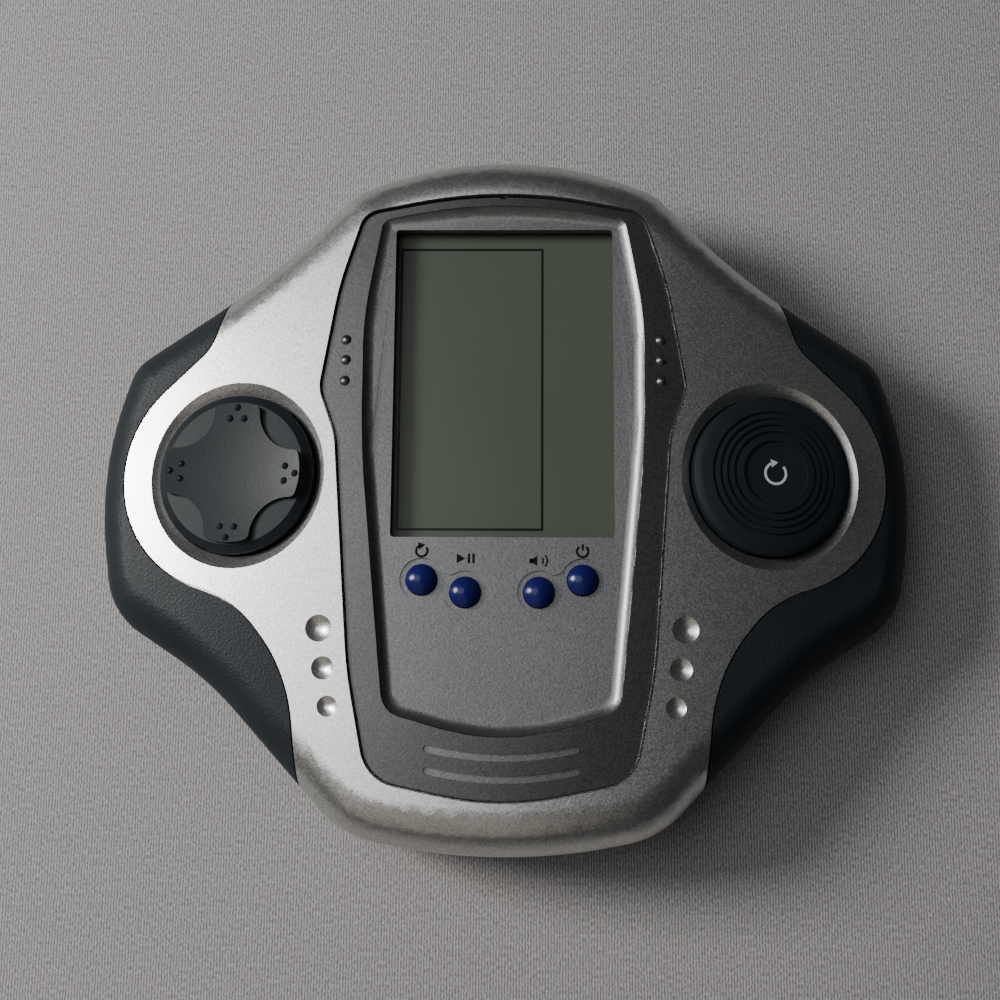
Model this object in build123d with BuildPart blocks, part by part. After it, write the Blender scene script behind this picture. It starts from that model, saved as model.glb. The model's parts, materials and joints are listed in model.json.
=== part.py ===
from build123d import *

import os
from math import asin, atan2, cos, degrees, radians, sin, sqrt, tan

# Handheld game console: crowned two-part case with side grips, an inset face plate round a screen,
# a rocking direction pad on the left wing, a round push button on the right wing and four small keys.
#
# Frame: the console lies on its back. X runs across, Y towards the top end, Z out of the face.
# The origin is under the middle of the case, on the flat back. All lengths are millimetres.

os.makedirs("parts", exist_ok=True)

# Case
case_width = 152.8
case_length = 130.0
crown_height = 28.5
crown_radius_across = 270.0
crown_radius_along = 1500.0
crown_block_depth = 60.0
parting_height = 11.0
wall = 2.0
front_round = 8.5
rear_round = 9.0
lip_height = 1.2
lip_thickness = 1.0
lip_clearance = 0.15
grip_gap = 0.3
grip_flange_width = 2.4
grip_flange_thickness = 1.2
grip_flange_root = 1.5
lip_root = 1.5
overrun = 20.0

# Half outlines: across and along as shares of the half sizes, then the bend's share of the shorter side
case_shares = [
    (0.0, 1.046, 0.88),
    (0.372, 0.877, 0.128),
    (0.562, 0.638, 0.757),
    (0.912, 0.390, 0.144),
    (1.0, 0.078, 0.726),
    (0.945, -0.338, 0.276),
    (0.691, -0.529, 0.349),
    (0.364, -0.942, 0.20),
    (0.0, -1.030, 0.77),
]
bezel_shares = [
    (0.0, 0.989, 0.61),
    (0.773, 0.909, 0.168),
    (0.903, 0.661, 0.28),
    (1.0, 0.314, 0.196),
    (0.906, 0.159, 0.18),
    (0.807, -0.589, 0.24),
    (0.695, -0.923, 0.26),
    (0.0, -1.007, 0.44),
]
dish_shares = [
    (0.0, 0.950, 0.6),
    (0.692, 0.900, 0.096),
    (0.784, 0.554, 0.265),
    (0.773, 0.143, 0.27),
    (0.630, -0.721, 0.146),
    (0.0, -0.818, 0.5),
]

# Face plate and screen
bezel_width = 66.2
bezel_length = 112.0
bezel_drop = 0.8
bezel_underside = 23.5
bezel_clearance = 0.2
bezel_edge_round = 0.5
ledge_width = 1.8
ledge_height = 1.2
ledge_wall = 1.5
dish_floor = 25.3
dish_round = 0.35
dish_cove = 2.4
window_width = 39.8
window_length = 57.4
window_centre = 19.3
window_round = 0.6
lens_margin = 1.5
lens_thickness = 1.0
lens_round = 3.0
screen_gap = 0.3
lcd_width = 43.0
lcd_length = 59.4
lcd_thickness = 1.9
lcd_ledge = 3.0
holder_wall = 1.2
holder_clearance = 0.2
holder_round = 3.0
peg_radius = 0.8
peg_clearance = 0.05
peg_reach_across = 20.5
peg_reach_along = 28.7
connector_width = 2.0
board_thickness = 1.6
board_inset = 0.8
board_top = 18.9
notch_width = 1.4
notch_depth = 0.6

# Raised bumps on the face plate, dimples in the shell, grooves at the foot of the face plate
bump_radius = 0.95
bump_height = 0.45
bump_places = [(28.45, 26.7), (28.45, 22.9), (28.5, 19.0)]
dimple_depth_share = 0.36
dimple_places = [(32.3, -25.8, 2.35), (31.35, -32.7, 2.0), (30.35, -39.3, 1.8)]
groove_half_length = 12.7
groove_sag = 1.45
groove_width = 1.25
groove_depth = 0.6
groove_places = [-46.4, -50.1]

# Keys
key_radius = 2.7
key_clearance = 0.15
key_height = 1.7
key_dome = 1.1
key_flange_radius = 3.5
key_flange_thickness = 0.7
key_rest_gap = 0.3
key_stem_radius = 1.6
key_places = {
    "reset": (-14.2, -17.0),
    "start": (-6.5, -19.2),
    "sound": (6.5, -19.2),
    "power": (14.2, -17.0),
}
pod_radius = 3.85
pod_waist = 4.4
pod_round = 1.2
pod_depth = 0.35
key_rubber_radius = 2.6
key_rubber_tip_radius = 1.7
key_rubber_height = 1.1

# Wing controls, measured from the point of the crown under their centre, along the crown's normal
wing_reach = 48.0
wing_place = 2.1
well_radius = 17.2
well_bore = 14.8
well_bevel = 1.6
well_depth = 3.0
well_wall_radius = 18.2
cap_radius = 14.45
cap_flange_radius = 15.6
cap_flange_thickness = 0.7
cap_wall = 2.0
wing_board_radius = 19.4
wing_board_depth = 6.28
wing_post_count = 3
wing_post_radius = 1.5
wing_post_clearance = 0.6
wing_post_turn = 90.0
wing_screw_radius = 0.6
wing_screw_length = 2.4
wing_screw_head_radius = 1.2
wing_screw_head_height = 0.8
seam_radius = 21.4
seam_shares = [(0.652, 0.623), (0.698, 0.403), (0.620, -0.317), (0.483, -0.515), (0.458, -0.90)]
seam_start_angle = 48.0
seam_end_angle = 70.0
seam_start_radius = 9.0
seam_turn_radius = 20.0
seam_foot_radius = 30.0

# Direction pad
pad_turn = -3.2
pad_edge_height = 0.2
pad_shoulder_radius = 13.0
pad_shoulder_height = 1.0
pad_star_radius = 12.7
pad_scallop_radius = 6.9
pad_scallop_reach = 15.8
pad_scallop_turn = 45.0
pad_star_height = 2.2
pad_dish_depth = 1.0
pad_tip_round = 1.2
pad_bump_radius = 0.65
pad_bump_height = 0.35
pad_bump_reach = 11.9
pad_bump_inner_reach = 9.9
pad_bump_spread = 1.35
pad_flange_depth = 4.2
pad_roof = 1.6
pad_post_reach = 9.0
pad_post_radius = 1.6
pad_post_depth = 4.6
pivot_depth = 5.0
pivot_radius = 2.0
pivot_clearance = 0.05
pivot_hole_radius = 1.6
pivot_tail_radius = 1.0
hub_radius = 3.4
hub_depth = 4.0
arm_count = 4

# Round button
button_edge_height = 0.5
button_crown_height = 2.6
button_flange_depth = 3.3
button_rim_radius = 13.1
button_rim_height = 1.3
button_roof = 2.0
button_disc_radius = 5.9
button_disc_sink = 0.35
button_groove_radii = [7.4, 8.65, 9.85, 11.1]
button_groove_width = 0.55
button_groove_depth = 0.35
button_post_radius = 2.4
button_post_depth = 4.9
rubber_gap = 0.3
rubber_radius = 2.9
rubber_tip_radius = 2.0
rubber_wall = 0.4
button_rubber_radius = 3.6

# Power cells and their bay
cell_radius = 7.1
cell_length = 49.2
cell_nub_radius = 2.75
cell_nub_length = 1.3
cell_round = 0.5
cell_spacing = 14.8
cell_floor_gap = 0.4
bay_centre = -35.6
bay_half_width = 28.6
bay_wall = 1.2
bay_clearance = 0.3
bay_lift = 0.4
bay_height = 15.2
door_half_width = 27.3
door_top_edge = -17.5
door_lip_height = 8.0
door_clearance = 0.25
tongue_thickness = 1.0
tongue_overlap = 0.9
tongue_root = 1.4
tongue_start = -49.5
tongue_clearance = 0.1
thumb_groove_count = 5
thumb_groove_pitch = 2.0
thumb_groove_length = 16.0
thumb_groove_width = 0.9
thumb_groove_depth = 0.5
thumb_groove_start = -26.0
contact_thickness = 0.4
contact_half_width = 4.5
contact_foot = 3.6
contact_tip = 1.4
contact_gap = 0.6
spring_reach = 4.7
plate_reach = 2.0

# Fasteners, posts and sounder
screw_places = [(22.0, 54.2), (47.0, 26.0), (32.6, -46.0)]
boss_radius = 2.8
boss_bore = 0.95
well_tube_radius = 3.3
screw_head_radius = 2.1
screw_head_height = 1.6
screw_head_clearance = 0.3
screw_shank_radius = 0.9
screw_shank_clearance = 0.25
screw_seat_height = 5.0
screw_length = 12.0
screw_slot_length = 2.4
screw_slot_width = 0.6
screw_slot_depth = 0.8
board_post_places = [(28.0, 30.0), (26.2, -14.0)]
board_post_radius = 2.2
board_screw_head_radius = 1.7
board_screw_head_height = 1.1
board_screw_length = 2.6
board_screw_radius = 0.7
board_hole_radius = 0.9
sounder_place = 26.0
sounder_radius = 13.5
sounder_thickness = 0.5
sounder_core_radius = 10.0
sound_hole_radius = 0.8
sound_ring_radii = [0.0, 3.6, 7.2]
sound_ring_counts = [1, 6, 12]
chip_radius = 6.0
chip_height = 1.6
chip_place = 14.0
capacitor_radius = 2.5
capacitor_length = 6.0
capacitor_round = 0.5
capacitor_place = (12.0, 34.0)
crystal_length = 10.6
crystal_width = 4.4
crystal_height = 3.2
crystal_turn = 90.0
crystal_place = (-13.0, 32.0)


def bend_radii(corners, bend_shares):
    """Radius of each corner's arc: the arc takes the given share of the corner's shorter side."""
    radii = []
    before = corners[-1:] + corners[:-1]
    after = corners[1:] + corners[:1]
    for last, corner, following, share in zip(before, corners, after, bend_shares):
        arriving = Vector(*corner) - Vector(*last)
        leaving = Vector(*following) - Vector(*corner)
        half_turn = radians(arriving.get_angle(leaving)) / 2
        radii.append(share * min(arriving.length, leaving.length) / tan(half_turn))
    return radii


def mirrored_outline(shares, width, length, grow=0.0):
    """Closed smooth outline, alike on both sides of X = 0, grown or shrunk evenly."""
    half = [(across * width / 2, along * length / 2) for across, along, bend in shares]
    other_half = [(-across, along) for across, along in reversed(half[1:-1])]
    bends = [bend for across, along, bend in shares]
    corners = half + other_half
    with BuildSketch() as outline:
        with BuildLine():
            FilletPolyline(*corners, radius=bend_radii(corners, bends + bends[-2:0:-1]), close=True)
        make_face()
        if grow:
            offset(amount=grow)
    return outline.sketch


def case_outline(grow=0.0):
    return mirrored_outline(case_shares, case_width, case_length, grow)


def bezel_outline(grow=0.0):
    return mirrored_outline(bezel_shares, bezel_width, bezel_length, grow)


def dish_outline():
    return mirrored_outline(dish_shares, bezel_width, bezel_length)


def crown_z(across, along=0.0):
    """Height of the crowned face at a place: the arc across the case, lowered towards its ends."""
    across_drop = crown_radius_across - sqrt(crown_radius_across**2 - across**2)
    along_drop = crown_radius_along - sqrt(crown_radius_along**2 - along**2)
    return crown_height - across_drop - along_drop


def crown_block(drop):
    """All that lies under the crowned face lowered by drop: three arcs across the case, joined."""
    with BuildPart() as block:
        for along in (-case_length, 0, case_length):
            middle = crown_z(0, along) - drop
            shoulder = crown_z(case_width, along) - drop
            floor = shoulder - crown_block_depth
            with BuildSketch(Plane((0, along, 0), x_dir=(1, 0, 0), z_dir=(0, -1, 0))):
                with BuildLine():
                    ThreePointArc((-case_width, shoulder), (0, middle), (case_width, shoulder))
                    corners = [(case_width, shoulder), (case_width, floor), (-case_width, floor)]
                    Polyline(*corners, (-case_width, shoulder))
                make_face()
        loft()
    return block.part


def case_form(inset):
    """The whole case as one smooth solid, drawn in evenly by inset."""
    with BuildPart() as form:
        with BuildSketch(Plane.XY.offset(inset)):
            add(case_outline(-inset))
        extrude(amount=crown_height + overrun)
        add(crown_block(inset), mode=Mode.INTERSECT)
        face_edges = form.faces().sort_by(Axis.Z)[-1].edges()
        fillet(face_edges, radius=front_round - inset)
        back_edges = form.faces().sort_by(Axis.Z)[0].edges()
        fillet(back_edges, radius=rear_round - inset)
    return form.part


def column(profile, low, high):
    """A flat profile drawn up from one height to another."""
    with BuildPart() as block:
        with BuildSketch(Plane.XY.offset(low)):
            add(profile)
        extrude(amount=high - low, dir=(0, 0, 1))
    return block.part


def grip_zone(side, shrink=0.0, grow=0.0):
    """Flat area of one grip, running out past the case. side is 1 on the right and -1 on the left.

    Its edge comes straight in, runs round the wing control, then down. It can be shrunk evenly, or
    grown towards the middle of the case."""
    ends = [(across * case_width / 2 - grow, along * case_length / 2) for across, along in seam_shares]
    bend = seam_radius - grow
    above = wing_place + bend * tan(radians(seam_start_angle / 2))
    below = wing_place - bend * tan(radians(seam_end_angle / 2))
    line = ends[:2] + [(wing_reach + bend, above), (wing_reach + bend, below)] + ends[2:]
    first, last = line[0], line[-1]
    with BuildSketch() as zone:
        with BuildLine():
            FilletPolyline(*line, radius=[seam_start_radius, bend, bend, seam_turn_radius, seam_foot_radius])
            Polyline(last, (case_width, last[1]), (case_width, first[1]), first)
        make_face()
        if shrink:
            offset(amount=-shrink)
        if side < 0:
            mirror(about=Plane.YZ, mode=Mode.REPLACE)
    return zone.sketch


def wing_plane(side):
    """Plane on the crown under a wing control. Its Z is the crown's normal."""
    lean = asin(wing_reach / crown_radius_across)
    centre = (side * wing_reach, wing_place, crown_z(wing_reach, wing_place))
    return Plane(centre, x_dir=(cos(lean), 0, -side * sin(lean)), z_dir=(side * sin(lean), 0, cos(lean)))


def section_plane(base):
    """Plane through a plane's Z and X, for profiles that are spun round that Z."""
    return Plane(base.origin, x_dir=base.x_dir, z_dir=-base.y_dir)


def spin_axis(base):
    return Axis(base.origin, base.z_dir)


def both_sides(places):
    return [(side * across, along) for across, along in places for side in (-1, 1)]


def ball_cap_radius(base_radius, height):
    """Radius of the ball whose cap has this base radius and height."""
    return (base_radius**2 + height**2) / (2 * height)


above_all = crown_height + overrun
lens_underside = bezel_underside - lens_thickness
lcd_top = lens_underside - screen_gap
lcd_underside = lcd_top - lcd_thickness
board_underside = board_top - board_thickness
cell_height = wall + cell_floor_gap + cell_radius
bay_half_length = cell_spacing / 2 + cell_radius + bay_clearance
bay_end_lift = wall + tongue_clearance + tongue_thickness + bay_lift
key_flange_top = bezel_underside - key_rest_gap
key_flange_underside = key_flange_top - key_flange_thickness
key_foot = board_top + key_rubber_height + rubber_gap
post_ring = cap_flange_radius + wing_post_clearance + wing_post_radius
pad_dish_radius = ball_cap_radius(pad_star_radius, pad_dish_depth)
button_ball_radius = ball_cap_radius(button_rim_radius, button_crown_height - button_rim_height)
right_wing = wing_plane(1)
left_wing = wing_plane(-1)
outer = case_form(0)
inner = case_form(wall)

# Front shell. Its cavity goes round the wells, the ledge under the face plate, the posts and the bosses
with BuildPart() as grip_flanges:
    add(inner)
    add(Location((0, 0, -grip_flange_thickness)) * inner, mode=Mode.SUBTRACT)
    with BuildSketch(Plane.XY.offset(parting_height + lip_height + lip_clearance)):
        for side in (-1, 1):
            add(grip_zone(side, grow=grip_flange_root))
            add(grip_zone(side, shrink=grip_flange_width), mode=Mode.SUBTRACT)
    extrude(amount=crown_height, dir=(0, 0, 1), mode=Mode.INTERSECT)

with BuildPart() as front_cavity:
    add(inner)
    ledge_foot = bezel_underside - ledge_height
    add(column(bezel_outline(bezel_clearance + ledge_wall), ledge_foot, above_all), mode=Mode.SUBTRACT)
    with BuildSketch(Plane.XY.offset(parting_height)):
        with Locations(*both_sides(screw_places)):
            Circle(boss_radius)
    extrude(amount=crown_height, mode=Mode.SUBTRACT)
    with BuildSketch(Plane.XY.offset(board_top)):
        with Locations(*both_sides(board_post_places)):
            Circle(board_post_radius)
    extrude(amount=crown_height, mode=Mode.SUBTRACT)
    for wing in (left_wing, right_wing):
        with BuildSketch(wing.offset(-well_depth)):
            Circle(well_wall_radius)
        extrude(amount=crown_height, mode=Mode.SUBTRACT)
        with BuildSketch(wing.offset(-wing_board_depth)):
            with PolarLocations(post_ring, wing_post_count, start_angle=wing_post_turn):
                Circle(wing_post_radius)
        extrude(amount=wing_board_depth, mode=Mode.SUBTRACT)

with BuildPart() as front_shell:
    add(outer)
    split(bisect_by=Plane.XY.offset(parting_height), keep=Keep.TOP)
    add(front_cavity.part, mode=Mode.SUBTRACT)
    for side in (-1, 1):
        add(column(grip_zone(side), 0, above_all), mode=Mode.SUBTRACT)
    add(grip_flanges.part)
    add(column(bezel_outline(bezel_clearance), bezel_underside, above_all), mode=Mode.SUBTRACT)
    with BuildSketch(Plane.XY):
        add(bezel_outline(-ledge_width))
        with Locations(*both_sides(board_post_places)):
            Circle(board_post_radius, mode=Mode.SUBTRACT)
    extrude(amount=above_all, mode=Mode.SUBTRACT)
    for wing in (left_wing, right_wing):
        with BuildSketch(wing.offset(-wing_board_depth)):
            with PolarLocations(post_ring, wing_post_count, start_angle=wing_post_turn):
                Circle(wing_screw_radius)
        extrude(amount=wing_screw_length, mode=Mode.SUBTRACT)
        with BuildSketch(section_plane(wing)):
            with BuildLine():
                flare = well_radius - well_bore
                Polyline(
                    (0, -wing_board_depth),
                    (well_bore, -wing_board_depth),
                    (well_bore, -well_bevel),
                    (well_radius + flare, well_bevel),
                    (0, well_bevel),
                    close=True,
                )
            make_face()
        revolve(axis=spin_axis(wing), mode=Mode.SUBTRACT)
    with BuildSketch(Plane.XY.offset(board_top)):
        with Locations(*both_sides(board_post_places)):
            Circle(board_screw_radius)
    extrude(amount=board_screw_length, mode=Mode.SUBTRACT)
    with BuildSketch(Plane.XY.offset(parting_height)):
        with Locations(*both_sides(screw_places)):
            Circle(boss_bore)
    extrude(amount=screw_seat_height + screw_length + boss_bore - parting_height, mode=Mode.SUBTRACT)
    for across, along, radius in dimple_places:
        depth = dimple_depth_share * radius
        ball = ball_cap_radius(radius, depth)
        height = crown_z(across, along) - depth + ball
        with Locations((-across, along, height), (across, along, height)):
            Sphere(ball, mode=Mode.SUBTRACT)

# Side grips, held between the shells and backed by the flanges of the front shell
with BuildPart() as left_grip:
    add(outer)
    split(bisect_by=Plane.XY.offset(parting_height), keep=Keep.TOP)
    add(inner, mode=Mode.SUBTRACT)
    add(column(grip_zone(-1, shrink=grip_gap), 0, above_all), mode=Mode.INTERSECT)

with BuildPart() as right_grip:
    add(left_grip.part.mirror(Plane.YZ))

# Rear shell, with the bay for the power cells, screw tubes and sound holes
with BuildPart() as shell_lip:
    add(case_form(wall + lip_clearance))
    split(bisect_by=Plane.XY.offset(parting_height - lip_root), keep=Keep.TOP)
    split(bisect_by=Plane.XY.offset(parting_height + lip_height), keep=Keep.BOTTOM)
    add(column(case_outline(-wall - lip_clearance - lip_thickness), 0, above_all), mode=Mode.SUBTRACT)
    with BuildSketch(Plane.XY.offset(parting_height)):
        with Locations(*both_sides(screw_places)):
            Circle(boss_radius + lip_clearance)
    extrude(amount=lip_height, mode=Mode.SUBTRACT)

with BuildPart() as lip_foot:
    add(inner)
    split(bisect_by=Plane.XY.offset(parting_height - lip_root), keep=Keep.TOP)
    split(bisect_by=Plane.XY.offset(parting_height - lip_clearance), keep=Keep.BOTTOM)
    add(column(case_outline(-wall - lip_clearance - lip_thickness), 0, above_all), mode=Mode.SUBTRACT)

with BuildPart() as rear_tubes:
    with BuildSketch():
        with Locations(*both_sides(screw_places)):
            Circle(well_tube_radius)
    extrude(amount=parting_height)
    add(outer, mode=Mode.INTERSECT)

with BuildPart() as rear_shell:
    add(outer)
    split(bisect_by=Plane.XY.offset(parting_height), keep=Keep.BOTTOM)
    add(inner, mode=Mode.SUBTRACT)
    add(shell_lip.part)
    add(lip_foot.part)
    add(rear_tubes.part)
    with BuildSketch(Plane.XY.offset(-overrun)):
        with Locations((0, (door_top_edge + door_clearance - case_length) / 2)):
            Rectangle(2 * (door_half_width + door_clearance), case_length + door_top_edge + door_clearance)
    extrude(amount=overrun + door_lip_height + door_clearance, mode=Mode.SUBTRACT)
    with BuildSketch(Plane.XY.offset(wall)):
        for side in (-1, 1):
            with Locations((side * (bay_half_width + bay_wall / 2), bay_centre)):
                Rectangle(bay_wall, 2 * (bay_half_length + bay_wall))
    extrude(amount=bay_height - wall)
    with BuildSketch(Plane.XY.offset(bay_end_lift)):
        for side in (-1, 1):
            with Locations((0, bay_centre + side * (bay_half_length + bay_wall / 2))):
                Rectangle(2 * (bay_half_width + bay_wall), bay_wall)
    extrude(amount=bay_height - bay_end_lift)
    with BuildSketch(Plane.XY.offset(wall)):
        for side in (-1, 1):
            with Locations((side * (door_half_width + tongue_overlap / 2), tongue_start - overrun / 2)):
                Rectangle(tongue_overlap + 2 * door_clearance, overrun)
    extrude(amount=bay_end_lift - wall, mode=Mode.SUBTRACT)
    with BuildSketch():
        with Locations(*both_sides(screw_places)):
            Circle(screw_head_radius + screw_head_clearance)
    extrude(amount=screw_seat_height, mode=Mode.SUBTRACT)
    with BuildSketch():
        with Locations(*both_sides(screw_places)):
            Circle(screw_shank_radius + screw_shank_clearance)
    extrude(amount=parting_height, mode=Mode.SUBTRACT)
    with BuildSketch():
        for ring_radius, ring_count in zip(sound_ring_radii, sound_ring_counts):
            with Locations((0, sounder_place)):
                with PolarLocations(ring_radius, ring_count):
                    Circle(sound_hole_radius)
    extrude(amount=wall, mode=Mode.SUBTRACT)

# Sliding door of the bay, with the tongues that hold it and its thumb grooves
with BuildPart() as battery_door:
    add(outer)
    add(inner, mode=Mode.SUBTRACT)
    with BuildSketch(Plane.XY.offset(-overrun)):
        with Locations((0, (door_top_edge - case_length) / 2)):
            Rectangle(2 * door_half_width, case_length + door_top_edge)
    extrude(amount=overrun + door_lip_height, mode=Mode.INTERSECT)
    tongue_length = door_top_edge - tongue_clearance - tongue_start
    tongue_middle = tongue_start + tongue_length / 2
    with BuildSketch(Plane.XY.offset(wall)):
        for side in (-1, 1):
            with Locations((side * (door_half_width - tongue_root / 2), tongue_middle)):
                Rectangle(tongue_root, tongue_length)
    extrude(amount=tongue_clearance + tongue_thickness)
    with BuildSketch(Plane.XY.offset(wall + tongue_clearance)):
        for side in (-1, 1):
            with Locations((side * (door_half_width + (tongue_overlap - tongue_root) / 2), tongue_middle)):
                Rectangle(tongue_root + tongue_overlap, tongue_length)
    extrude(amount=tongue_thickness)
    with BuildSketch():
        for count in range(thumb_groove_count):
            with Locations((0, thumb_groove_start - count * thumb_groove_pitch)):
                SlotOverall(thumb_groove_length, thumb_groove_width)
    extrude(amount=thumb_groove_depth, mode=Mode.SUBTRACT)

# Face plate, with its sunk dish, window, key holes, bumps and grooves
with BuildPart() as face_openings:
    add(column(dish_outline(), dish_floor, above_all))
    fillet(face_openings.faces().sort_by(Axis.Z)[0].edges(), radius=dish_cove)
    with BuildSketch(Plane.XY.offset(dish_floor - pod_depth)):
        for outer_key, inner_key in (("reset", "start"), ("power", "sound")):
            near, far = Vector(*key_places[inner_key]), Vector(*key_places[outer_key])
            lean = degrees(atan2(far.Y - near.Y, far.X - near.X))
            with Locations(near, far):
                Circle(pod_radius)
            with Locations(Location((near + far) / 2, (0, 0, lean))):
                Rectangle((far - near).length, pod_waist)
        offset(amount=pod_round)
        offset(amount=-pod_round)
    extrude(amount=crown_height - dish_floor)
    with BuildSketch():
        with Locations((0, window_centre)):
            RectangleRounded(window_width, window_length, window_round)
        with Locations(*key_places.values()):
            Circle(key_radius + key_clearance)
    extrude(amount=crown_height)

with BuildPart() as groove_cutter:
    with BuildSketch():
        for place in groove_places:
            ends = [(-groove_half_length, place), (0, place - groove_sag), (groove_half_length, place)]
            SlotArc(arc=ThreePointArc(*ends).edge(), height=groove_width)
    extrude(amount=above_all)
    add(crown_block(bezel_drop + groove_depth), mode=Mode.SUBTRACT)

with BuildPart() as face_plate:
    add(column(bezel_outline(), bezel_underside, above_all))
    add(crown_block(bezel_drop), mode=Mode.INTERSECT)
    add(face_openings.part, mode=Mode.SUBTRACT)
    rim = face_plate.faces().sort_by(Axis.Z)[-1]
    fillet(rim.outer_wire().edges(), radius=bezel_edge_round)
    rim = face_plate.faces().sort_by(Axis.Z)[-1]
    fillet(rim.inner_wires()[0].edges(), radius=dish_round)
    add(groove_cutter.part, mode=Mode.SUBTRACT)
    with BuildSketch():
        with Locations((0, face_plate.part.bounding_box().max.Y)):
            Rectangle(notch_width, 2 * notch_depth)
    extrude(amount=above_all, mode=Mode.SUBTRACT)
    bump_ball = ball_cap_radius(bump_radius, bump_height)
    for across, along in bump_places:
        height = crown_z(across, along) - bezel_drop + bump_height - bump_ball
        with Locations((-across, along, height), (across, along, height)):
            Sphere(bump_ball)

# Screen: clear lens under the window, display panel in its frame, and the strips that join it to the board
with BuildPart() as screen_lens:
    with BuildSketch(Plane.XY.offset(lens_underside)):
        with Locations((0, window_centre)):
            RectangleRounded(window_width + 2 * lens_margin, window_length + 2 * lens_margin, lens_round)
    extrude(amount=lens_thickness)

with BuildPart() as lcd_panel:
    with BuildSketch(Plane.XY.offset(lcd_underside)):
        with Locations((0, window_centre)):
            Rectangle(lcd_width, lcd_length)
    extrude(amount=lcd_thickness)

peg_places = [
    (across * peg_reach_across, window_centre + along * peg_reach_along)
    for across in (-1, 1)
    for along in (-1, 1)
]
with BuildPart() as lcd_holder:
    with BuildSketch(Plane.XY.offset(board_top)):
        with Locations((0, window_centre)):
            growth = 2 * (holder_clearance + holder_wall)
            RectangleRounded(lcd_width + growth, lcd_length + growth, holder_round)
    extrude(amount=lcd_top - board_top)
    with BuildSketch(Plane.XY.offset(lcd_underside)):
        with Locations((0, window_centre)):
            Rectangle(lcd_width + 2 * holder_clearance, lcd_length + 2 * holder_clearance)
    extrude(amount=lcd_thickness, mode=Mode.SUBTRACT)
    with BuildSketch(Plane.XY.offset(board_top)):
        with Locations((0, window_centre)):
            Rectangle(lcd_width - 2 * lcd_ledge, lcd_length - 2 * lcd_ledge)
    extrude(amount=lcd_thickness + lcd_underside - board_top, mode=Mode.SUBTRACT)
    with BuildSketch(Plane.XY.offset(board_underside)):
        with Locations(*peg_places):
            Circle(peg_radius)
    extrude(amount=board_thickness)

with BuildPart() as lcd_connectors:
    with BuildSketch(Plane.XY.offset(board_top)):
        for side in (-1, 1):
            reach = lcd_length / 2 - lcd_ledge - connector_width / 2
            with Locations((0, window_centre + side * reach)):
                Rectangle(lcd_width - 2 * lcd_ledge, connector_width)
    extrude(amount=lcd_underside - board_top)

# Boards and what they carry
with BuildPart() as main_board:
    add(column(bezel_outline(-board_inset), board_underside, board_top))
    with BuildSketch(Plane.XY.offset(board_underside)):
        with Locations(*both_sides(board_post_places)):
            Circle(board_hole_radius)
        with Locations(*peg_places):
            Circle(peg_radius + peg_clearance)
    extrude(amount=board_thickness, mode=Mode.SUBTRACT)

with BuildPart() as control_chip:
    chip_ball = ball_cap_radius(chip_radius, chip_height)
    with Locations((0, chip_place, board_underside - chip_height + chip_ball)):
        Sphere(chip_ball)
    split(bisect_by=Plane.XY.offset(board_underside), keep=Keep.BOTTOM)

with BuildPart() as board_capacitor:
    with BuildSketch(Plane.XY.offset(board_underside)):
        with Locations(capacitor_place):
            Circle(capacitor_radius)
    extrude(amount=-capacitor_length)
    fillet(board_capacitor.faces().sort_by(Axis.Z)[0].edges(), radius=capacitor_round)

with BuildPart() as board_crystal:
    with BuildSketch(Plane.XY.offset(board_underside)):
        with Locations(crystal_place):
            SlotOverall(crystal_length, crystal_width, rotation=crystal_turn)
    extrude(amount=-crystal_height)

with BuildPart() as dpad_board:
    with BuildSketch(left_wing.offset(-wing_board_depth)):
        Circle(wing_board_radius)
        Circle(pivot_hole_radius, mode=Mode.SUBTRACT)
        with PolarLocations(post_ring, wing_post_count, start_angle=wing_post_turn):
            Circle(wing_screw_radius, mode=Mode.SUBTRACT)
    extrude(amount=-board_thickness)

with BuildPart() as rotate_board:
    with BuildSketch(right_wing.offset(-wing_board_depth)):
        Circle(wing_board_radius)
        with PolarLocations(post_ring, wing_post_count, start_angle=wing_post_turn):
            Circle(wing_screw_radius, mode=Mode.SUBTRACT)
    extrude(amount=-board_thickness)

# Fasteners
with BuildPart() as board_screws:
    with BuildSketch(Plane.XY.offset(board_underside)):
        with Locations(*both_sides(board_post_places)):
            Circle(board_screw_head_radius)
    extrude(amount=-board_screw_head_height)
    with BuildSketch(Plane.XY.offset(board_underside)):
        with Locations(*both_sides(board_post_places)):
            Circle(board_screw_radius)
    extrude(amount=board_thickness + board_screw_length)
    for wing in (left_wing, right_wing):
        underside = wing.offset(-wing_board_depth - board_thickness)
        with BuildSketch(underside):
            with PolarLocations(post_ring, wing_post_count, start_angle=wing_post_turn):
                Circle(wing_screw_head_radius)
        extrude(amount=-wing_screw_head_height)
        with BuildSketch(underside):
            with PolarLocations(post_ring, wing_post_count, start_angle=wing_post_turn):
                Circle(wing_screw_radius)
        extrude(amount=board_thickness + wing_screw_length)

with BuildPart() as case_screws:
    with BuildSketch(Plane.XY.offset(screw_seat_height)):
        with Locations(*both_sides(screw_places)):
            Circle(screw_head_radius)
    extrude(amount=-screw_head_height)
    with BuildSketch(Plane.XY.offset(screw_seat_height - screw_head_height)):
        with Locations(*both_sides(screw_places)):
            Rectangle(screw_slot_length, screw_slot_width)
            Rectangle(screw_slot_width, screw_slot_length)
    extrude(amount=screw_slot_depth, mode=Mode.SUBTRACT)
    with BuildSketch(Plane.XY.offset(screw_seat_height)):
        with Locations(*both_sides(screw_places)):
            Circle(screw_shank_radius)
    extrude(amount=screw_length)

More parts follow.
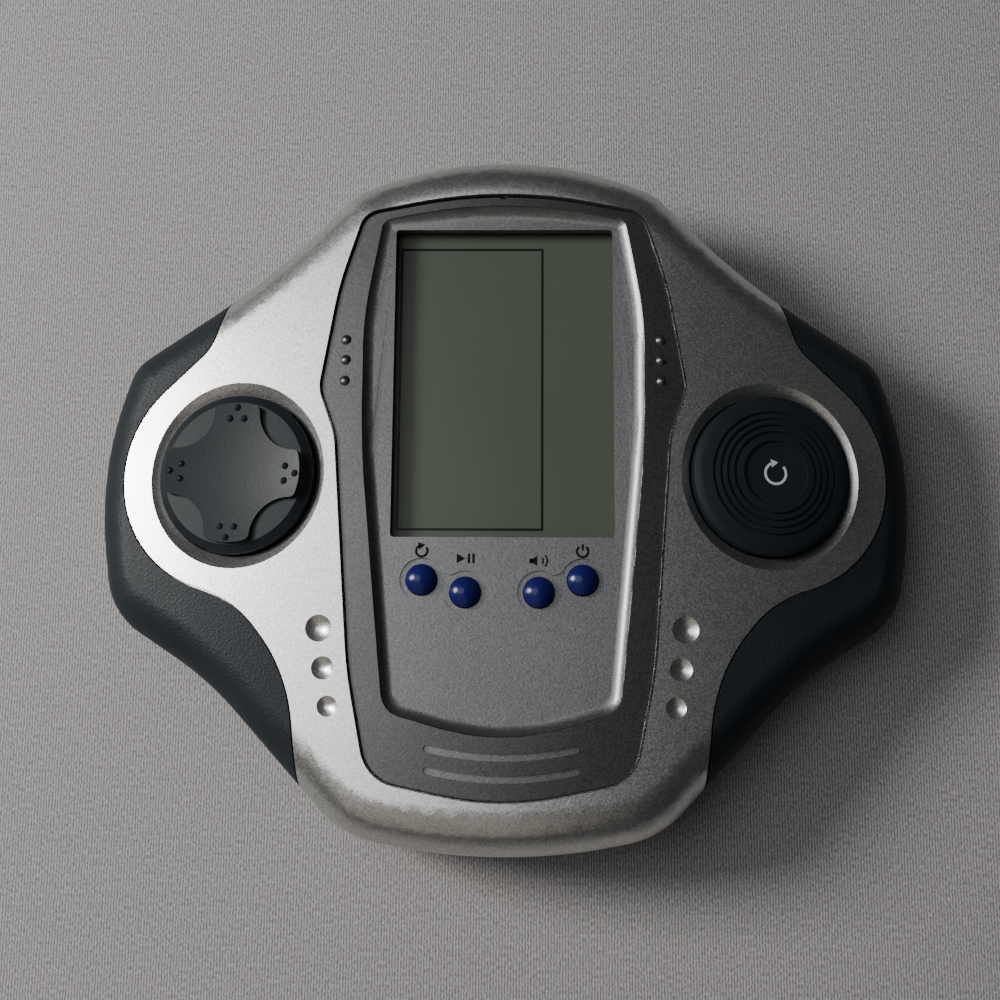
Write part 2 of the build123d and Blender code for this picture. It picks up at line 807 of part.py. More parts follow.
# Sounder, power cells and their contacts
with BuildPart() as sounder:
    with BuildSketch(Plane.XY.offset(wall)):
        with Locations((0, sounder_place)):
            Circle(sounder_radius)
    extrude(amount=sounder_thickness)
    with BuildSketch(Plane.XY.offset(wall + sounder_thickness)):
        with Locations((0, sounder_place)):
            Circle(sounder_core_radius)
    extrude(amount=sounder_thickness)


def power_cell(side):
    """A round cell along X with its button end at the given side."""
    along = bay_centre - side * cell_spacing / 2
    flat_end = -side * (bay_half_width - spring_reach)
    with BuildPart() as cell:
        with BuildSketch(Plane((flat_end, along, cell_height), x_dir=(0, 1, 0), z_dir=(side, 0, 0))):
            Circle(cell_radius)
        extrude(amount=cell_length)
        fillet(cell.edges(), radius=cell_round)
        with BuildSketch(Plane((flat_end + side * cell_length, along, cell_height), z_dir=(side, 0, 0))):
            Circle(cell_nub_radius)
        extrude(amount=cell_nub_length)
    return cell.part


with BuildPart() as upper_battery:
    add(power_cell(-1))

with BuildPart() as lower_battery:
    add(power_cell(1))


def contact_leaf(side, along, reach):
    """Folded leaf spring that stands against the bay's side wall and meets a cell at reach."""
    foot = side * (bay_half_width - contact_thickness / 2)
    tip = side * (bay_half_width - reach + contact_thickness / 2)
    with BuildPart() as leaf:
        with BuildSketch(Plane.XY.offset(cell_height - contact_half_width)):
            with BuildLine():
                Polyline(
                    (foot, along - contact_foot),
                    (foot, along + contact_foot),
                    (tip, along + contact_tip),
                    (tip, along - contact_tip),
                    (foot - side * contact_gap, along - contact_foot + contact_gap),
                )
                offset(amount=contact_thickness / 2, side=Side.BOTH)
            make_face()
        extrude(amount=2 * contact_half_width)
    return leaf.part


with BuildPart() as spring_contacts:
    for side in (-1, 1):
        add(contact_leaf(-side, bay_centre - side * cell_spacing / 2, spring_reach))

with BuildPart() as plate_contacts:
    for side in (-1, 1):
        add(contact_leaf(side, bay_centre - side * cell_spacing / 2, plate_reach))

# Direction pad: rocks on a ball about two axes
pivot_point = left_wing.offset(-pivot_depth).origin
with BuildPart() as dpad_cap:
    with BuildSketch(section_plane(left_wing)):
        with BuildLine():
            Polyline(
                (0, pad_shoulder_height - pad_roof),
                (cap_radius - cap_wall, pad_shoulder_height - pad_roof),
                (cap_radius - cap_wall, -pad_flange_depth - cap_flange_thickness),
                (cap_flange_radius, -pad_flange_depth - cap_flange_thickness),
                (cap_flange_radius, -pad_flange_depth),
                (cap_radius, -pad_flange_depth),
                (cap_radius, pad_edge_height),
                (pad_shoulder_radius, pad_shoulder_height),
                (0, pad_shoulder_height),
                close=True,
            )
        make_face()
    revolve(axis=spin_axis(left_wing))
    with BuildSketch(left_wing.offset(-hub_depth)):
        Circle(hub_radius)
    extrude(amount=hub_depth + pad_shoulder_height)
    with BuildSketch(left_wing.offset(-pad_post_depth)):
        with PolarLocations(pad_post_reach, arm_count):
            Circle(pad_post_radius)
    extrude(amount=pad_post_depth + pad_shoulder_height)
    with BuildSketch(left_wing.offset(pad_shoulder_height)) as star:
        Circle(pad_star_radius)
        with PolarLocations(pad_scallop_reach, arm_count, start_angle=pad_turn + pad_scallop_turn):
            Circle(pad_scallop_radius, mode=Mode.SUBTRACT)
        fillet(star.vertices(), radius=pad_tip_round)
    extrude(amount=pad_star_height - pad_shoulder_height)
    with Locations(left_wing.offset(pad_star_height - pad_dish_depth + pad_dish_radius).origin):
        Sphere(pad_dish_radius, mode=Mode.SUBTRACT)
    with Locations(pivot_point):
        Sphere(pivot_radius + pivot_clearance, mode=Mode.SUBTRACT)
    bump_dish = pad_star_height - pad_dish_depth + pad_dish_radius
    bump_ball = ball_cap_radius(pad_bump_radius, pad_bump_height)
    inner_bumps = [(pad_bump_inner_reach, side * pad_bump_spread) for side in (-1, 1)]
    for reach, spread in ((pad_bump_reach, 0), *inner_bumps):
        radius = sqrt(reach**2 + spread**2)
        height = bump_dish - sqrt(pad_dish_radius**2 - radius**2) + pad_bump_height - bump_ball
        turn = pad_turn + degrees(atan2(spread, reach))
        with Locations(left_wing.offset(height)):
            with PolarLocations(radius, arm_count, start_angle=turn):
                Sphere(bump_ball)

with BuildPart() as dpad_pivot:
    with Locations(pivot_point):
        Sphere(pivot_radius)
    with BuildSketch(left_wing.offset(-pivot_depth)):
        Circle(pivot_tail_radius)
    extrude(amount=pivot_depth - wing_board_depth - board_thickness)

# Round push button
with BuildPart() as rotate_button:
    with BuildSketch(section_plane(right_wing)):
        with BuildLine():
            Polyline(
                (0, button_crown_height),
                (0, button_crown_height - button_roof),
                (cap_radius - cap_wall, button_rim_height - button_roof),
                (cap_radius - cap_wall, -button_flange_depth - cap_flange_thickness),
                (cap_flange_radius, -button_flange_depth - cap_flange_thickness),
                (cap_flange_radius, -button_flange_depth),
                (cap_radius, -button_flange_depth),
                (cap_radius, button_edge_height),
                (button_rim_radius, button_rim_height),
            )
            RadiusArc((button_rim_radius, button_rim_height), (0, button_crown_height), -button_ball_radius)
        make_face()
    revolve(axis=spin_axis(right_wing))
    with BuildSketch(right_wing.offset(-button_post_depth)):
        Circle(button_post_radius)
    extrude(amount=button_post_depth + button_rim_height)
    for radius in button_groove_radii:
        drop = button_ball_radius - sqrt(button_ball_radius**2 - radius**2)
        with BuildSketch(right_wing.offset(button_crown_height - drop - button_groove_depth)):
            Circle(radius + button_groove_width / 2)
            Circle(radius - button_groove_width / 2, mode=Mode.SUBTRACT)
        extrude(amount=button_crown_height, mode=Mode.SUBTRACT)
    disc_drop = button_ball_radius - sqrt(button_ball_radius**2 - button_disc_radius**2)
    with BuildSketch(right_wing.offset(button_crown_height - disc_drop - button_disc_sink)):
        Circle(button_disc_radius)
    extrude(amount=button_crown_height, mode=Mode.SUBTRACT)


def key_cap(place):
    """Domed key with a flange that stops it under the face plate and a stem over its rubber dome."""
    key_top = dish_floor + key_height
    edge_height = key_top - key_dome
    ball = ball_cap_radius(key_radius, key_dome)
    with BuildPart() as cap:
        with Locations((*place, key_top - ball)):
            Sphere(ball)
        split(bisect_by=Plane.XY.offset(edge_height), keep=Keep.TOP)
        with BuildSketch(Plane.XY.offset(key_flange_underside)):
            with Locations(place):
                Circle(key_radius)
        extrude(amount=edge_height - key_flange_underside)
        with BuildSketch(Plane.XY.offset(key_flange_underside)):
            with Locations(place):
                Circle(key_flange_radius)
        extrude(amount=key_flange_thickness)
        with BuildSketch(Plane.XY.offset(key_foot)):
            with Locations(place):
                Circle(key_stem_radius)
        extrude(amount=key_flange_underside - key_foot)
    return cap.part


with BuildPart() as reset_button:
    add(key_cap(key_places["reset"]))

with BuildPart() as start_button:
    add(key_cap(key_places["start"]))

with BuildPart() as sound_button:
    add(key_cap(key_places["sound"]))

with BuildPart() as power_button:
    add(key_cap(key_places["power"]))


def rubber_dome(base, radius, tip_radius, height):
    """Hollow rubber dome that stands on a board's plane and springs a key back."""
    with BuildPart() as dome:
        with BuildSketch(section_plane(base)):
            with BuildLine():
                Polyline(
                    (radius - rubber_wall, 0),
                    (radius, 0),
                    (radius, rubber_wall),
                    (tip_radius, height - rubber_wall),
                    (tip_radius, height),
                    (0, height),
                    (0, height - rubber_wall),
                    (tip_radius - rubber_wall, height - rubber_wall),
                    close=True,
                )
            make_face()
        revolve(axis=spin_axis(base))
    return dome.part


left_board = left_wing.offset(-wing_board_depth)
right_board = right_wing.offset(-wing_board_depth)
with BuildPart() as dpad_domes:
    height = wing_board_depth - pad_post_depth - rubber_gap
    for across, along in ((1, 0), (0, 1), (-1, 0), (0, -1)):
        place = left_board.from_local_coords((across * pad_post_reach, along * pad_post_reach, 0))
        spot = Plane(place, x_dir=left_board.x_dir, z_dir=left_board.z_dir)
        add(rubber_dome(spot, rubber_radius, rubber_tip_radius, height))

with BuildPart() as rotate_dome:
    height = wing_board_depth - button_post_depth - rubber_gap
    add(rubber_dome(right_board, button_rubber_radius, button_post_radius, height))


def key_rubber(place):
    plane = Plane((*place, board_top))
    return rubber_dome(plane, key_rubber_radius, key_rubber_tip_radius, key_rubber_height)


with BuildPart() as reset_dome:
    add(key_rubber(key_places["reset"]))

with BuildPart() as start_dome:
    add(key_rubber(key_places["start"]))

with BuildPart() as sound_dome:
    add(key_rubber(key_places["sound"]))

with BuildPart() as power_dome:
    add(key_rubber(key_places["power"]))

nodes = {
    "front_shell": front_shell,
    "rear_shell": rear_shell,
    "left_grip": left_grip,
    "right_grip": right_grip,
    "face_plate": face_plate,
    "screen_lens": screen_lens,
    "lcd_panel": lcd_panel,
    "lcd_holder": lcd_holder,
    "lcd_connectors": lcd_connectors,
    "main_board": main_board,
    "control_chip": control_chip,
    "board_capacitor": board_capacitor,
    "board_crystal": board_crystal,
    "dpad_board": dpad_board,
    "rotate_board": rotate_board,
    "board_screws": board_screws,
    "case_screws": case_screws,
    "sounder": sounder,
    "upper_battery": upper_battery,
    "lower_battery": lower_battery,
    "spring_contacts": spring_contacts,
    "plate_contacts": plate_contacts,
    "battery_door": battery_door,
    "dpad_cap": dpad_cap,
    "dpad_pivot": dpad_pivot,
    "dpad_domes": dpad_domes,
    "rotate_button": rotate_button,
    "rotate_dome": rotate_dome,
    "reset_button": reset_button,
    "reset_dome": reset_dome,
    "start_button": start_button,
    "start_dome": start_dome,
    "sound_button": sound_button,
    "sound_dome": sound_dome,
    "power_button": power_button,
    "power_dome": power_dome,
}
for name, node in nodes.items():
    node.part.label = name
    export_step(node.part, f"parts/{name}.step")
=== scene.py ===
# %% [markdown]
# # A handheld game console, dressed for its picture
# The solids of the console come packed from the model's own source. They are already true to the
# millimetre, so this lesson only finishes them: it smooths the moulded skins, gives every piece the
# surface of its real material, prints the display and the key marks, and lights the lot on a table.

# %% The frame of solids
import json
import math

import bpy
from mathutils import Matrix, Vector


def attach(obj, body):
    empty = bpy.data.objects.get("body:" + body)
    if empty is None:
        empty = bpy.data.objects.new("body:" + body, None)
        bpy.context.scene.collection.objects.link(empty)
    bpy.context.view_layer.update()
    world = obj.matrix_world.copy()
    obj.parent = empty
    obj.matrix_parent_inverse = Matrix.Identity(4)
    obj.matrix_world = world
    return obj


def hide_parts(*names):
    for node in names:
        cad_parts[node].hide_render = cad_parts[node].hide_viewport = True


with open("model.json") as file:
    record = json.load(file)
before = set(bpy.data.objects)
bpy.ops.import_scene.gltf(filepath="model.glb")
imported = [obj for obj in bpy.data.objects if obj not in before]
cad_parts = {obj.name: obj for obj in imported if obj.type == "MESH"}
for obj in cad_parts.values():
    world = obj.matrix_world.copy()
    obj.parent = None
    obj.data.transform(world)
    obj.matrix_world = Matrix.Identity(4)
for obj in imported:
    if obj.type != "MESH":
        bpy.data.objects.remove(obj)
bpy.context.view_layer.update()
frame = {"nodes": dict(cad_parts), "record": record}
MM = 0.001

# %% [markdown]
# ## Camera
# The picture was taken from above the lower end of the console, looking almost straight down. A camera
# could be aimed by eye, but here its place, its right and up directions and its lens come from matching
# the outline's known corners with where they are seen, which settles all of these at once.

# %% The camera
CAMERA_PLACE = Vector((4.72, -51.84, 278.15)) * MM
CAMERA_RIGHT = Vector((0.99979, 0.00699, -0.01907))
CAMERA_UP = Vector((-0.00322, 0.98161, 0.19087))
LENS_MM = 52.2
SENSOR_MM = 36
CLIP_START = 10 * MM

camera_data = bpy.data.cameras.new("camera")
camera_data.lens = LENS_MM
camera_data.sensor_width = SENSOR_MM
camera_data.clip_start = CLIP_START
camera = bpy.data.objects.new("camera", camera_data)
bpy.context.scene.collection.objects.link(camera)
turn = Matrix((CAMERA_RIGHT, CAMERA_UP, CAMERA_RIGHT.cross(CAMERA_UP))).transposed()
camera.matrix_world = Matrix.Translation(CAMERA_PLACE) @ turn.to_4x4()
bpy.context.scene.camera = camera
print("camera at", [round(v, 3) for v in CAMERA_PLACE])

# %% [markdown]
# ## Shader groups
# Three effects come back in many finishes: the glitter of metal flakes in paint, the slow mottling
# that dust and handling leave, and the fine pebble grain that a mould gives soft-touch plastic. They
# could be built again in each material, but as node groups they are made once. Each puts out a mask
# or a height, and the material decides what to do with it.


# %% Helpers for nodes
def new_group(name, inputs, outputs):
    """An empty group with its sockets, and the object's own coordinates inside it."""
    group = bpy.data.node_groups.new(name, "ShaderNodeTree")
    for socket, value in inputs:
        made = group.interface.new_socket(socket, in_out="INPUT", socket_type="NodeSocketFloat")
        made.default_value = value
    for socket in outputs:
        group.interface.new_socket(socket, in_out="OUTPUT", socket_type="NodeSocketFloat")
    start = group.nodes.new("NodeGroupInput")
    end = group.nodes.new("NodeGroupOutput")
    place = group.nodes.new("ShaderNodeTexCoord").outputs["Object"]
    return group, start.outputs, end.inputs, place


def add_node(tree, kind, links=(), **settings):
    """A new node, its properties set by name and its inputs set or linked by number or name."""
    made = tree.nodes.new(kind)
    for key, value in settings.items():
        setattr(made, key, value)
    for socket, value in dict(links).items():
        if isinstance(value, bpy.types.NodeSocket):
            tree.links.new(value, made.inputs[socket])
        else:
            made.inputs[socket].default_value = value
    return made


def maths(tree, operation, first, second=0.0, third=0.0, clamp=False):
    """The result of one Math node."""
    links = {0: first, 1: second, 2: third}
    return add_node(tree, "ShaderNodeMath", links, operation=operation, use_clamp=clamp).outputs[0]


def centred(tree, mask):
    """A mask that ran from 0 to 1 runs from minus a half to a half."""
    return maths(tree, "SUBTRACT", mask, 0.5)


print("node helpers ready")

# %% Metal flake: one random grey for each cell
flake_group, given, result, place = new_group("metal_flake", [("Scale", 4000.0)], ["Flake"])
cells = add_node(flake_group, "ShaderNodeTexVoronoi", {"Vector": place, "Scale": given["Scale"]})
greys = add_node(flake_group, "ShaderNodeSeparateColor", {0: cells.outputs["Color"]})
flake_group.links.new(greys.outputs[0], result["Flake"])
print("group:", flake_group.name)

# %% Mottling: a slow noise with a contrast of its own
mottle_sockets = [("Scale", 60.0), ("Contrast", 1.0)]
mottle_group, given, result, place = new_group("mottling", mottle_sockets, ["Mottle"])
clouds = {"Vector": place, "Scale": given["Scale"], "Detail": 5.0, "Roughness": 0.6}
slow = add_node(mottle_group, "ShaderNodeTexNoise", clouds)
swing = centred(mottle_group, slow.outputs[0])
mottle = maths(mottle_group, "MULTIPLY_ADD", swing, given["Contrast"], 0.5, clamp=True)
mottle_group.links.new(mottle, result["Mottle"])
print("group:", mottle_group.name)

# %% Mould grain: pebbles with ripples over them
RIPPLE_SHARE = 0.6
grain_group, given, result, place = new_group("mould_grain", [("Scale", 1800.0)], ["Height"])
spots = {"Vector": place, "Scale": given["Scale"]}
pebbles = add_node(grain_group, "ShaderNodeTexVoronoi", spots, feature="SMOOTH_F1")
ripples = add_node(grain_group, "ShaderNodeTexNoise", {**spots, "Detail": 3.0})
relief = maths(grain_group, "MULTIPLY_ADD", ripples.outputs[0], RIPPLE_SHARE, pebbles.outputs["Distance"])
grain_group.links.new(relief, result["Height"])
print("groups:", [group.name for group in bpy.data.node_groups])

# %% [markdown]
# ## The maker of finishes
# Every finish is one Principled shader. Its constants sit on the shader's own sockets, and only what
# changes over the surface is wired in: a base colour between two tones, a roughness that wanders, and
# a normal from a bump. Each material could be wired by hand, but one maker function does it from the
# groups, so that a real material is then a line or two with its own values.

# %% The maker
MIX_TONES = (6, 7)
MIX_RESULT = 2
GLITTER_SHARE = 0.8
HANDLED = {"Scale": 60.0, "Contrast": 1.6}


def two_tones(tree, mask, dark, light):
    """A colour that runs from dark to light with the mask."""
    links = {"Factor": mask, MIX_TONES[0]: (*dark, 1), MIX_TONES[1]: (*light, 1)}
    return add_node(tree, "ShaderNodeMix", links, data_type="RGBA").outputs[MIX_RESULT]


def group_output(tree, group, values, output):
    """One output of a group that is placed in tree with its own values."""
    made = add_node(tree, "ShaderNodeGroup", node_tree=group)
    for name, value in values.items():
        made.inputs[name].default_value = value
    return made.outputs[output]


def finish(name, dark, light, roughness, spread, metallic=0.0, flake=None,
           grain=None, depth=0.0, mottle=HANDLED, **constants):
    """A finish of two tones and a roughness that wanders by spread. Flake and grain are scales in 1/m."""
    material = bpy.data.materials.new(name)
    material.use_nodes = True
    tree = material.node_tree
    shader = tree.nodes["Principled BSDF"]
    tone = group_output(tree, mottle_group, mottle, "Mottle")
    if flake:
        glitter = group_output(tree, flake_group, {"Scale": flake}, "Flake")
        tone = maths(tree, "MULTIPLY_ADD", centred(tree, glitter), GLITTER_SHARE, tone, clamp=True)
    tree.links.new(two_tones(tree, tone, dark, light), shader.inputs["Base Color"])
    sheen = maths(tree, "MULTIPLY_ADD", centred(tree, tone), spread, roughness, clamp=True)
    tree.links.new(sheen, shader.inputs["Roughness"])
    if grain:
        height = group_output(tree, grain_group, {"Scale": grain}, "Height")
        bump = add_node(tree, "ShaderNodeBump", {"Height": height, "Strength": 1.0, "Distance": depth})
        tree.links.new(bump.outputs["Normal"], shader.inputs["Normal"])
    shader.inputs["Metallic"].default_value = metallic
    for socket, value in constants.items():
        shader.inputs[socket.replace("_", " ")].default_value = value
    return material


print("maker of finishes ready")

# %% [markdown]
# ## The outside
# The front shell and the face plate are sprayed with metallic paint, so they are nearly metal, with a
# glitter of flakes and a faint grain. The rear is the bare moulded plastic. The grips, the direction
# pad and the round button are dark and soft to the touch, with a pebble grain and a dull shine, and
# the four keys are smooth blue plastic under a thin gloss. The clear lens could be made of real glass,
# but light that is bent twice arrives dim and noisy at the display, so a low alpha lets nearly all of
# it straight through, and only the gloss stays.

# %% Paints, plastics and the lens
PAINT = {
    "roughness": 0.34, "spread": 0.06, "metallic": 0.98, "flake": 4600.0, "grain": 2600.0,
    "depth": 0.000012, "mottle": {"Scale": 40.0, "Contrast": 0.5},
}
FACE_PAINT = {**PAINT, "roughness": 0.38, "metallic": 0.88}
SOFT_TOUCH = {"roughness": 0.5, "spread": 0.14, "grain": 2800.0, "depth": 0.00006, "Specular_IOR_Level": 0.16}
MOULDED = {"roughness": 0.42, "spread": 0.12, "grain": 2200.0, "depth": 0.00002}
CONTROL = {"roughness": 0.40, "spread": 0.12, "grain": 2600.0, "depth": 0.00001, "Specular_IOR_Level": 0.15}
KEY = {
    "roughness": 0.22, "spread": 0.06,
    "Specular_IOR_Level": 0.22, "Coat_Weight": 0.08, "Coat_Roughness": 0.08,
}
CLEAR = {"roughness": 0.12, "spread": 0.05, "Alpha": 0.06}
finishes = {
    "front_silver": finish("silver_paint", (0.44, 0.44, 0.43), (0.76, 0.755, 0.74), **PAINT),
    "rear_grey": finish("back_plastic", (0.20, 0.20, 0.205), (0.25, 0.25, 0.255), **MOULDED),
    "grip_blue": finish("grip_plastic", (0.008, 0.011, 0.014), (0.015, 0.020, 0.024), **SOFT_TOUCH),
    "face_grey": finish("face_paint", (0.135, 0.135, 0.136), (0.225, 0.224, 0.226), **FACE_PAINT),
    "control_blue": finish("control_plastic", (0.008, 0.011, 0.013), (0.014, 0.018, 0.021), **CONTROL),
    "key_blue": finish("key_plastic", (0.006, 0.007, 0.064), (0.009, 0.010, 0.092), **KEY),
    "lens_clear": finish("lens_clear", (0.045, 0.052, 0.040), (0.055, 0.062, 0.050), **CLEAR),
}
print("outside finishes:", list(finishes))

# %% [markdown]
# ## The inside
# Under the lens lies the grey-green glass of the display. The rest shows only when a piece is lifted
# off: dark holder, pink connector strips, green boards, steel, brass and rubber. Each is the same
# maker with plain values, because nothing of it is seen close by.

# %% Display, boards, metals and rubber
DISPLAY = {"roughness": 0.5, "spread": 0.05, "mottle": {"Scale": 25.0, "Contrast": 1.4}}
DULL = {"roughness": 0.5, "spread": 0.1}
RUBBER = {"roughness": 0.6, "spread": 0.1}
BOARD = {"roughness": 0.35, "spread": 0.1}
RESIN = {"roughness": 0.25, "spread": 0.1}
SLEEVE = {"roughness": 0.3, "spread": 0.1}
METAL = {"roughness": 0.3, "spread": 0.15, "metallic": 1.0}
SPRING = {"roughness": 0.25, "spread": 0.12, "metallic": 1.0}
POLISHED = {"roughness": 0.4, "spread": 0.1}
finishes.update({
    "lcd_grey": finish("display_glass", (0.044, 0.057, 0.036), (0.054, 0.068, 0.045), **DISPLAY),
    "holder_black": finish("holder_plastic", (0.008, 0.008, 0.008), (0.014, 0.014, 0.014), **DULL),
    "rubber_pink": finish("strip_rubber", (0.30, 0.11, 0.10), (0.42, 0.18, 0.16), **RUBBER),
    "board_green": finish("board_resin", (0.012, 0.060, 0.016), (0.020, 0.085, 0.025), **BOARD),
    "chip_black": finish("chip_resin", (0.006, 0.006, 0.006), (0.012, 0.012, 0.012), **RESIN),
    "capacitor_sleeve": finish("capacitor_sleeve", (0.01, 0.012, 0.03), (0.015, 0.02, 0.05), **SLEEVE),
    "steel": finish("bright_steel", (0.42, 0.42, 0.42), (0.55, 0.55, 0.55), **METAL),
    "sounder_brass": finish("sounder_brass", (0.55, 0.38, 0.13), (0.65, 0.47, 0.18), **METAL),
    "cell_sleeve": finish("cell_sleeve", (0.02, 0.02, 0.025), (0.03, 0.03, 0.04), **RESIN),
    "contact_steel": finish("contact_steel", (0.50, 0.50, 0.48), (0.62, 0.62, 0.60), **SPRING),
    "pivot_white": finish("pivot_plastic", (0.60, 0.59, 0.55), (0.68, 0.67, 0.62), **POLISHED),
    "dome_rubber": finish("dome_rubber", (0.36, 0.35, 0.31), (0.45, 0.44, 0.40), **RUBBER),
})
print("finishes:", len(finishes))

# %% [markdown]
# ## Painted shade on the rim
# The tilted, crowned rim of the face plate mirrors darker parts of the room than the sunk dish and the
# floors of the curved grooves do, so painted shade stands in for that darker reflection. Two materials
# on one skin would need its faces picked by hand. The paint measures instead how deep a place lies under
# the crown, from its own coordinates, and paints the shade near the top.

# %% The crown's sizes and the rim's painted shade
CROWN_HEIGHT = 28.5
CROWN_ACROSS = 270.0
CROWN_ALONG = 1500.0
PLATE_DROP = 0.8
RIM_TOP = (CROWN_HEIGHT - PLATE_DROP) * MM
# The painted shade on the rim: the depths over which it fades, and its darkest tone.
RIM_SHADE_DEPTHS = (0.1 * MM, 0.4 * MM)
RIM_SHADE_TONE = 0.50


def painted_rim_shade(material):
    """Painted shade: the base colour is dimmed where the depth under the plate's crown is less than the
    rim's.
    """
    tree = material.node_tree
    colour = tree.nodes["Principled BSDF"].inputs["Base Color"]
    place = add_node(tree, "ShaderNodeTexCoord").outputs["Object"]
    axes = add_node(tree, "ShaderNodeSeparateXYZ", {"Vector": place}).outputs
    across = maths(tree, "MULTIPLY", axes["X"], axes["X"])
    along = maths(tree, "MULTIPLY", axes["Y"], axes["Y"])
    end_drop = maths(tree, "MULTIPLY", along, 0.5 / (CROWN_ALONG * MM))
    drop = maths(tree, "MULTIPLY_ADD", across, 0.5 / (CROWN_ACROSS * MM), end_drop)
    depth = maths(tree, "SUBTRACT", maths(tree, "SUBTRACT", RIM_TOP, drop), axes["Z"])
    given_range = {"Value": depth, "From Min": RIM_SHADE_DEPTHS[0], "From Max": RIM_SHADE_DEPTHS[1]}
    tone = add_node(tree, "ShaderNodeMapRange", {**given_range, "To Min": RIM_SHADE_TONE, "To Max": 1.0})
    painted_shade = {0: colour.links[0].from_socket, "Scale": tone.outputs[0]}
    tree.links.new(add_node(tree, "ShaderNodeVectorMath", painted_shade, operation="SCALE").outputs[0], colour)


# The face plate's rim gets painted shade for its darker reflection.
painted_rim_shade(finishes["face_grey"])
print("rim tone:", RIM_SHADE_TONE, "above the depths", RIM_SHADE_DEPTHS)

# %% [markdown]
# ## Smoothed skins
# A solid comes as loose flat triangles. For a skin that is seen, a copy is merged into one surface
# and shaded smooth, and this could be the end of it. But the triangles beside a hole in a curved
# surface are long slivers, and plain averages of their directions show as streaks in metallic paint.
# So each corner's normal is worked out here, in the next three steps, and the shape isn't touched.

# %% Slots, bodies and how a skin is dressed
subparts = frame["record"]["subparts"]
bodies = frame["record"]["behaviour"]["bodies"]
node_slots = {entry["node"]: entry["material_slot"] for entry in subparts}
node_bodies = {node: body for body, nodes in bodies.items() for node in nodes}


def only(obj):
    """obj alone is selected and active."""
    bpy.ops.object.select_all(action="DESELECT")
    obj.select_set(True)
    bpy.context.view_layer.objects.active = obj


def dress(obj, slot, body):
    """obj wears the finish of its slot and rides on its body."""
    obj.data.materials.clear()
    obj.data.materials.append(finishes[slot])
    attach(obj, body)


print("slots:", len(set(node_slots.values())), "bodies:", len(bodies))

# %% [markdown]
# ### Known sheets
# Some surfaces have a form that is known: the crown of the case is curved along and across, the face
# plate follows it a little lower, the direction pad is hollowed by a ball and the round button is
# domed by one. Where a corner lies on such a sheet, the sheet's own direction is better than any
# average of facets. Each sheet is a function that gives the gap to it and its direction at a place.

# %% The crown, the pad's hollow and the button's dome, in millimetres
WING_PLACE = Vector((48.0, 2.1, 24.1976))
WING_LEAN = Vector((0.17778, 0.0, 0.98407))
MIRROR = Vector((-1.0, 1.0, 1.0))
PAD_BALL = 81.145
PAD_BALL_HEIGHT = 82.345
DOME_BALL = 66.65
DOME_BALL_HEIGHT = -64.05


def crown_sheet(drop):
    """The case's crown, lowered by drop."""
    def sheet(place):
        across = math.sqrt(CROWN_ACROSS**2 - place.x**2)
        along = math.sqrt(CROWN_ALONG**2 - place.y**2)
        height = CROWN_HEIGHT - (CROWN_ACROSS - across) - (CROWN_ALONG - along) - drop
        return place.z - height, Vector((place.x / across, place.y / along, 1.0)).normalized()
    return sheet


def ball_sheet(centre, radius, hollow):
    """A ball, whose direction points inwards where it is hollow."""
    def sheet(place):
        away = place - centre
        return away.length - radius, away.normalized() * (-1 if hollow else 1)
    return sheet


crown = crown_sheet(0.0)
pad_centre = (WING_PLACE + WING_LEAN * PAD_BALL_HEIGHT) * MIRROR
dome_centre = WING_PLACE + WING_LEAN * DOME_BALL_HEIGHT
SHEETS = {
    "front_shell": crown,
    "left_grip": crown,
    "right_grip": crown,
    "face_plate": crown_sheet(PLATE_DROP),
    "dpad_cap": ball_sheet(pad_centre, PAD_BALL, True),
    "rotate_button": ball_sheet(dome_centre, DOME_BALL, False),
}
print("sheets:", list(SHEETS))

# %% [markdown]
# ### Directions without slivers
# A sliver is so thin that rounding alone can turn its direction anywhere. It takes over the direction
# of the neighbour across its longest edge, and where that one is a sliver too, it waits for a round
# in which the neighbour has got one. After some rounds it tries its shorter edges as well.

# %% Facet directions
SLIVER_HEIGHT = 0.04 * MM
SLIVER_ROUNDS = 16
ROUNDS_PER_EDGE = 4


def facet_directions(mesh):
    """The direction of each facet, with that of a neighbour for a sliver."""
    sharing = {}
    for facet in mesh.polygons:
        for edge in facet.edge_keys:
            sharing.setdefault(edge, []).append(facet.index)
    directions = [facet.normal.copy() for facet in mesh.polygons]
    slivers = []
    for facet in mesh.polygons:
        spans = [(mesh.vertices[start].co - mesh.vertices[end].co).length for start, end in facet.edge_keys]
        if facet.area < SLIVER_HEIGHT * max(spans) / 2:
            order = sorted(zip(spans, facet.edge_keys), reverse=True)
            slivers.append((facet.index, [edge for span, edge in order]))
    waiting = {index for index, edges in slivers}
    for attempt in range(SLIVER_ROUNDS):
        for index, edges in slivers:
            if index not in waiting:
                continue
            for edge in edges[:1 + attempt // ROUNDS_PER_EDGE]:
                others = [other for other in sharing[edge] if other != index and other not in waiting]
                if others:
                    directions[index] = directions[others[0]]
                    waiting.discard(index)
                    break
    return directions


print("slivers are lower than", SLIVER_HEIGHT, "m")

# %% [markdown]
# ### Calm corners
# Each corner first gets the average of the facets that meet at it, weighted by their area and without
# those beyond a sharp edge. On a known sheet it then gets the sheet's direction. The front shell runs
# from its crown into a rounded shoulder without an edge between them, so there the sheet's direction
# fades into the average with the gap. At the end, all corners that aren't held by a sheet lean a
# little to those beside them, for a few rounds, which takes the last unevenness out of the rounded edges.

# %% One round of calming
SMOOTH_COSINE = math.cos(math.radians(24))
OWN_WEIGHT = 2


